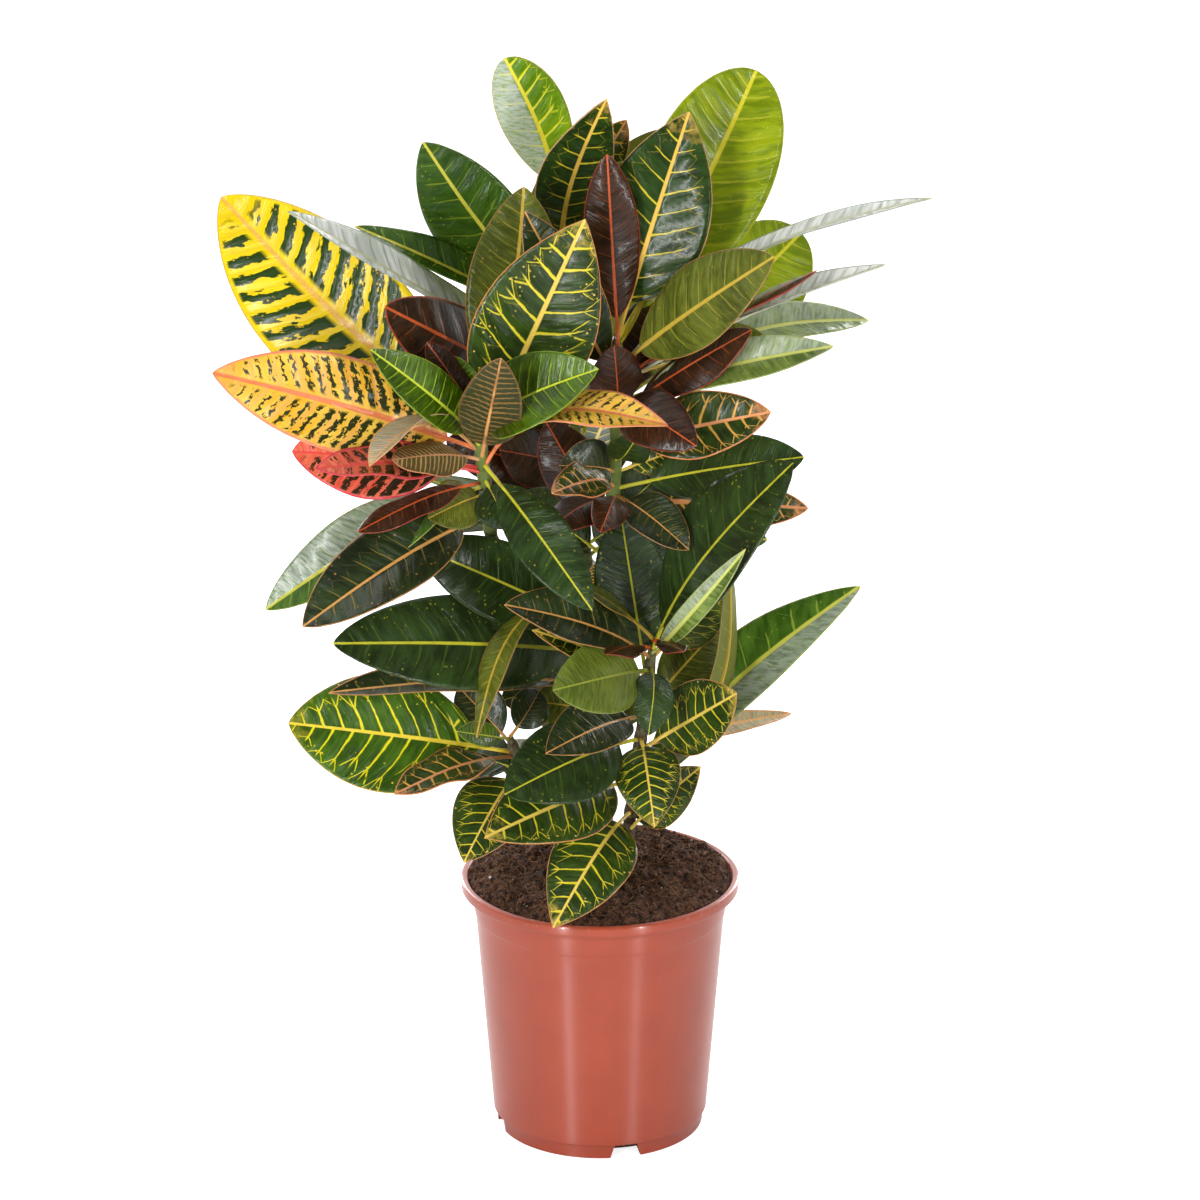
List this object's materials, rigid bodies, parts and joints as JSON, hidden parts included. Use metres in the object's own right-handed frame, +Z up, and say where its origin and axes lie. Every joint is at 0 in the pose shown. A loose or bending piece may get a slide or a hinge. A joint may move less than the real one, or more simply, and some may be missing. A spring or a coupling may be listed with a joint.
{
  "type": "potted croton plant",
  "caption": "Bushy croton houseplant with broad veined leaves on upright leafy stems in a round plastic nursery pot of soil.",
  "frame": {"origin": "centre of the pot's flat rest disc, on the plane the pot stands on", "axes": "+Z up along the pot's axis, -Y towards the plant's front, +X to the right seen from the front"},
  "size_m": [0.5229, 0.3609, 0.8203],
  "materials": {
    "pot_plastic": "satin",
    "soil": "matte",
    "foliage": "gloss"
  },
  "bodies": {
    "root": {"pot": "pot_plastic", "soil": "soil", "leafy_stem_low_left": "foliage", "leafy_stem_mid_right": "foliage", "leafy_stem_centre": "foliage", "leafy_stem_upper_left": "foliage", "leafy_stem_back": "foliage"}
  },
  "joints": []
}
